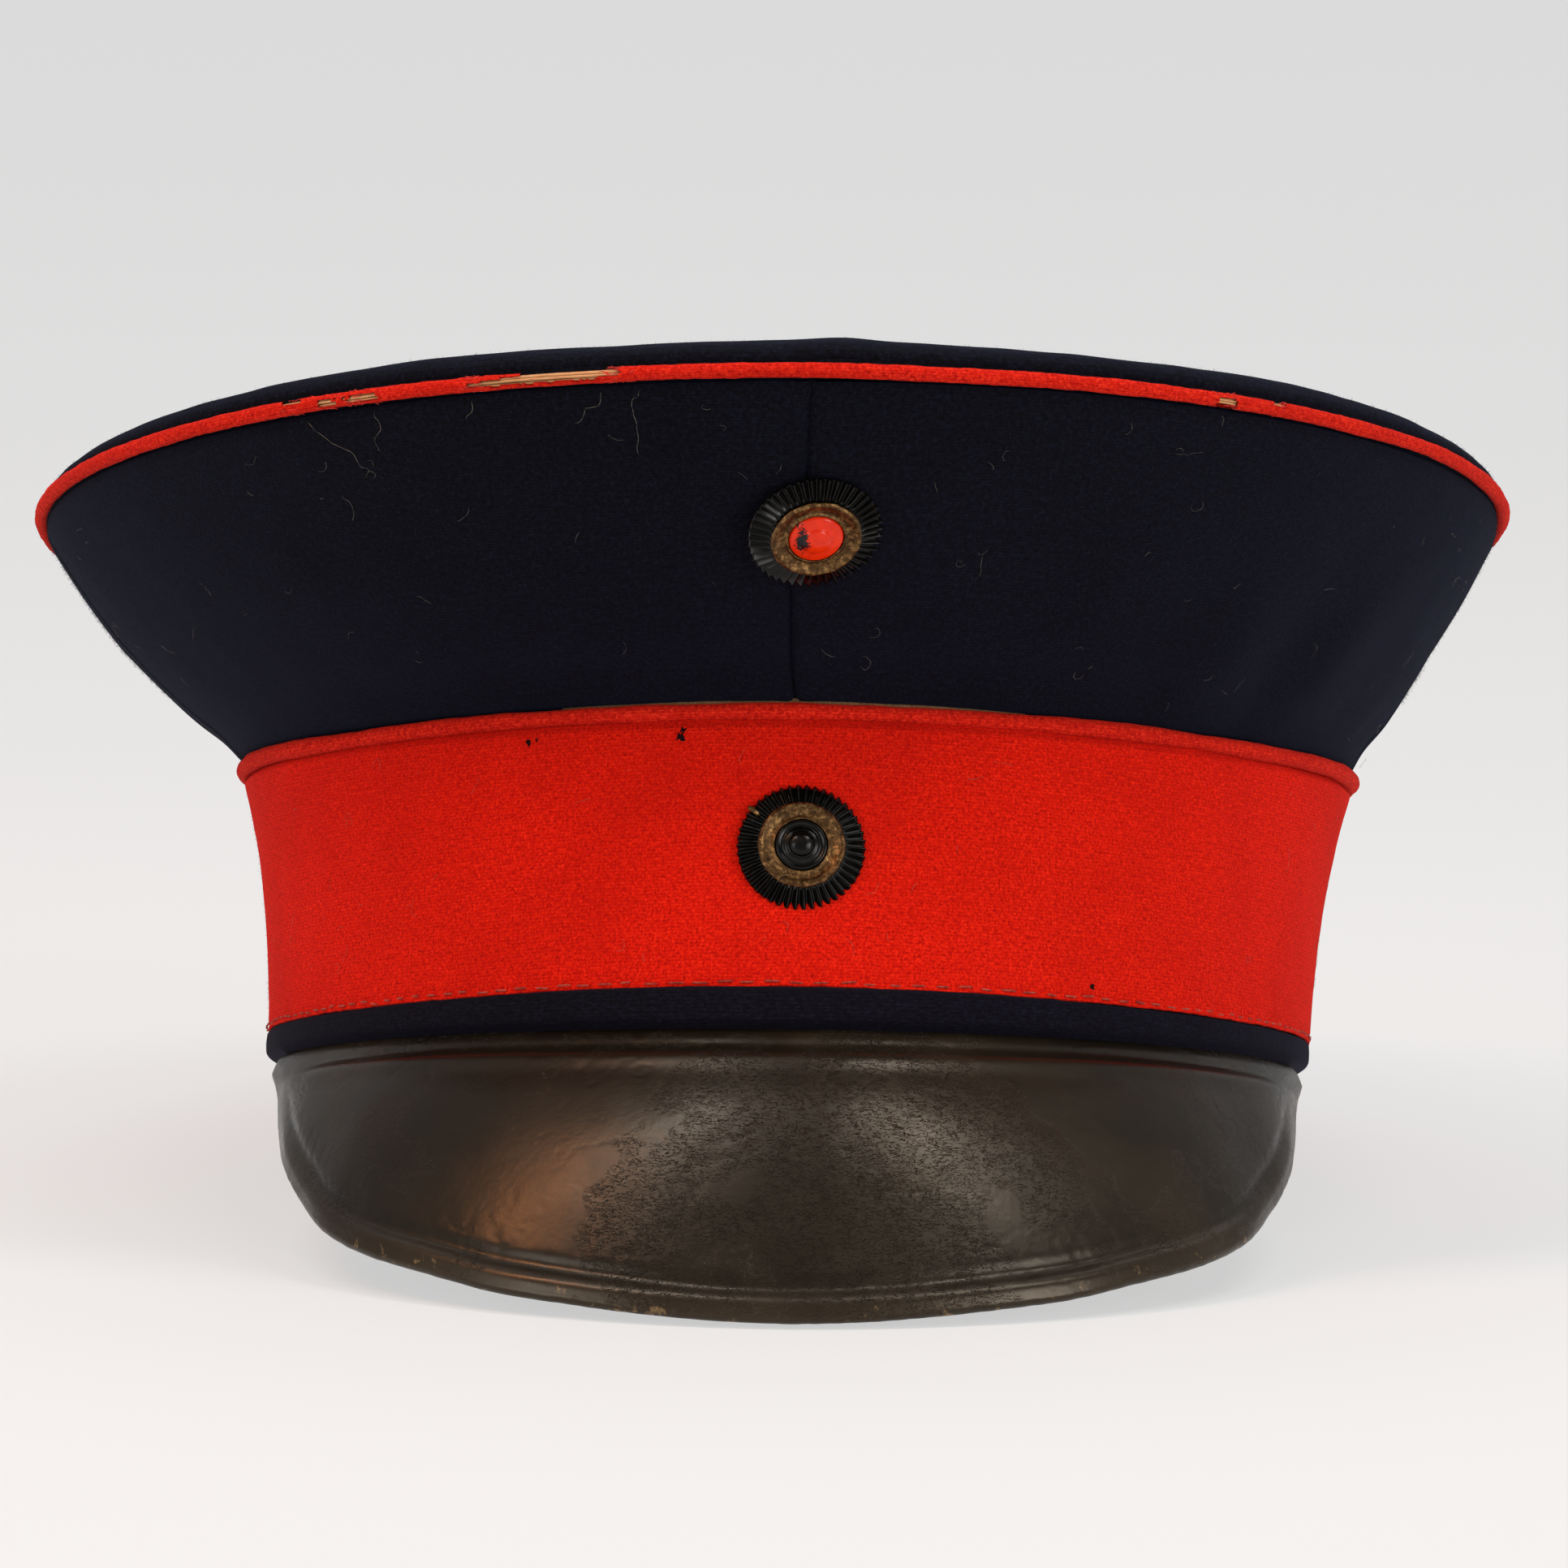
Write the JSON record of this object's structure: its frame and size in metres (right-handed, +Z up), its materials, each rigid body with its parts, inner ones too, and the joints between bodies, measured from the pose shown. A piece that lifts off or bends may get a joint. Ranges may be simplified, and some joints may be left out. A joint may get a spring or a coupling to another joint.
{
  "type": "military peaked cap",
  "caption": "Stiff peaked cap with a wide flared crown edged with cane-cored piping, a bright trim band, two turning cockades and a steep leather peak.",
  "frame": {"origin": "on the table under the middle of the cap, which rests on its peak's rim and the rear of its band", "axes": "+X to the viewer's right when facing the cap's front, -Y towards the front (the peak), +Z up off the table"},
  "size_m": [0.2454, 0.2926, 0.1517],
  "materials": {
    "red_wool": "heavy felted wool",
    "pink_thread": "thread",
    "navy_wool": "heavy felted wool",
    "buckram": "stiffened cloth",
    "stay": "satin",
    "cane": "split cane",
    "wadding": "cotton",
    "lining": "glossy cotton",
    "shield": "clear, yellowed",
    "brown_leather": "worn satin",
    "brown_thread": "thread",
    "ribbon": "ribbed",
    "black_leather": "aged gloss",
    "green_leather": "matt",
    "black_japan": "gloss",
    "bronze": "tarnished",
    "brass": "dull",
    "red_enamel": "chipped gloss"
  },
  "bodies": {
    "cap": {"red_trim_band": "red_wool", "trim_welt": "red_wool", "trim_stitching": "pink_thread", "band_cloth": "navy_wool", "band_stiffener": "buckram", "crown_front_right_quarter": "navy_wool", "crown_front_left_quarter": "navy_wool", "crown_rear_right_quarter": "navy_wool", "crown_rear_left_quarter": "navy_wool", "crown_interlining": "buckram", "front_stay": "stay", "crown_piping": "red_wool", "piping_tail": "red_wool", "piping_cane": "cane", "edge_wadding": "wadding", "crown_top": "navy_wool", "top_interlining": "buckram", "top_lining": "lining", "side_lining": "lining", "sweat_shield": "shield", "sweatband": "brown_leather", "sweatband_reed": "cane", "sweatband_stitching": "brown_thread", "sweatband_bow": "ribbon", "peak": "black_leather", "peak_liner": "green_leather", "lower_cockade_washer": "brass", "upper_cockade_washer": "brass"},
    "lower_cockade": {"lower_cockade_rim": "black_japan", "lower_cockade_ring": "bronze", "lower_cockade_boss": "black_japan", "lower_cockade_prongs": "brass"},
    "upper_cockade": {"upper_cockade_rim": "black_japan", "upper_cockade_ring": "bronze", "upper_cockade_boss": "red_enamel", "upper_cockade_prongs": "brass"}
  },
  "joints": [
    {"name": "lower_cockade_turn", "type": "hinge", "parent": "cap", "child": "lower_cockade", "pos_m": [0.0028, -0.09822, 0.06923], "axis": [0.0342, -0.9209, 0.3883], "continuous": true},
    {"name": "upper_cockade_turn", "type": "hinge", "parent": "cap", "child": "upper_cockade", "pos_m": [0.0042, -0.11165, 0.12151], "axis": [0.1504, -0.8275, -0.5409], "continuous": true}
  ]
}
